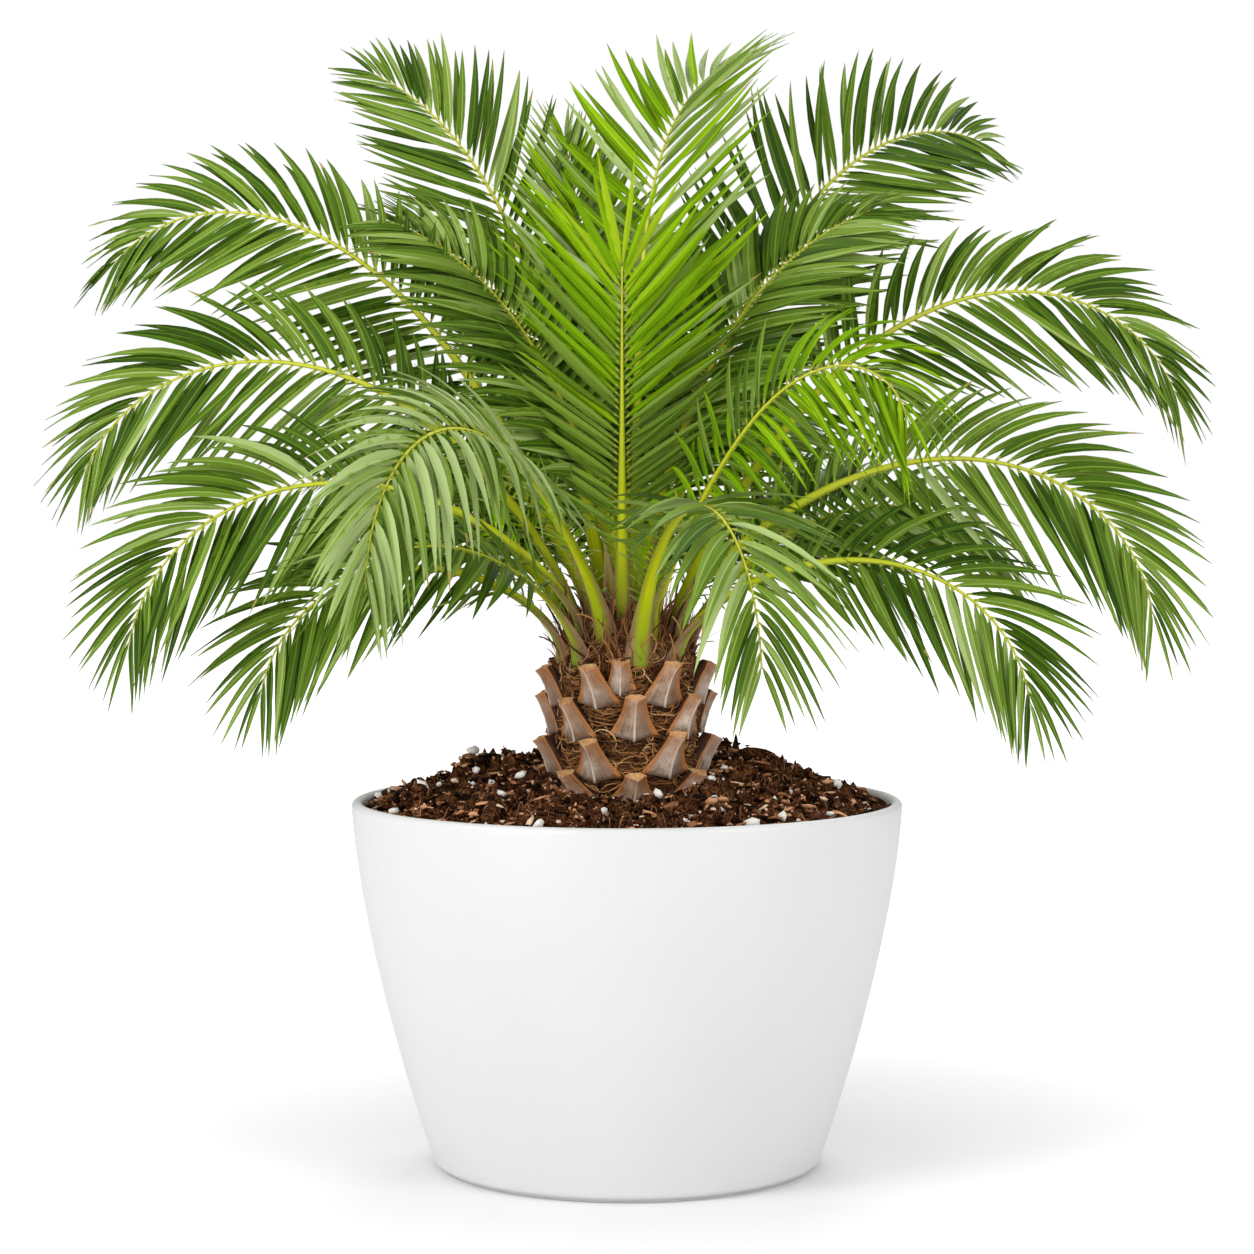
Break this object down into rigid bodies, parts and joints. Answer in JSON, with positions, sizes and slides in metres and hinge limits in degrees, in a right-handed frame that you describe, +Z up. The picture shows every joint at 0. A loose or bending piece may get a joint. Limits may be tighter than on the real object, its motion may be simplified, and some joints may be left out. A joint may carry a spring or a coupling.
{
  "type": "potted canary island date palm",
  "caption": "Young feather palm with arching fronds and a short trunk of cut leaf bases, planted in a round tapering pot filled with bark potting mix.",
  "frame": {"origin": "centre of the pot's flat underside", "axes": "+Z up along the pot's axis, -Y towards the front that the picture shows, +X to that view's right"},
  "size_m": [1.5028, 1.3202, 1.4657],
  "materials": {
    "pot_shell": "smooth satin white",
    "mix": "loose dark brown bark and peat",
    "bark": "dry fibrous leaf bases, grey brown with orange brown edges",
    "frond_green": "waxy mid green leaflets on a yellow green rib",
    "frond_bright": "waxy bright yellow green leaflets on a yellow green rib"
  },
  "bodies": {
    "root": {"pot": "pot_shell", "potting_mix": "mix", "trunk": "bark", "frond_back_left_top": "frond_green", "frond_left_high": "frond_green", "frond_left_middle": "frond_green", "frond_left_low": "frond_green", "frond_left_lowest": "frond_green", "frond_left_front_low": "frond_green", "frond_left_front": "frond_green", "frond_front": "frond_bright", "frond_front_right": "frond_green", "frond_right_front": "frond_bright", "frond_right_lowest": "frond_green", "frond_right_low": "frond_green", "frond_right_middle": "frond_green", "frond_right_high": "frond_green", "frond_back_right_top": "frond_bright", "frond_back_top": "frond_bright", "frond_centre_left": "frond_green", "frond_centre_right": "frond_green", "frond_back_low_1": "frond_green", "frond_back_low_2": "frond_green", "frond_back_low_3": "frond_green", "frond_back_low_4": "frond_green", "frond_back_low_5": "frond_green", "frond_back_middle_1": "frond_green", "frond_back_middle_2": "frond_green", "frond_back_middle_3": "frond_green", "frond_back_high_1": "frond_green"}
  },
  "joints": []
}
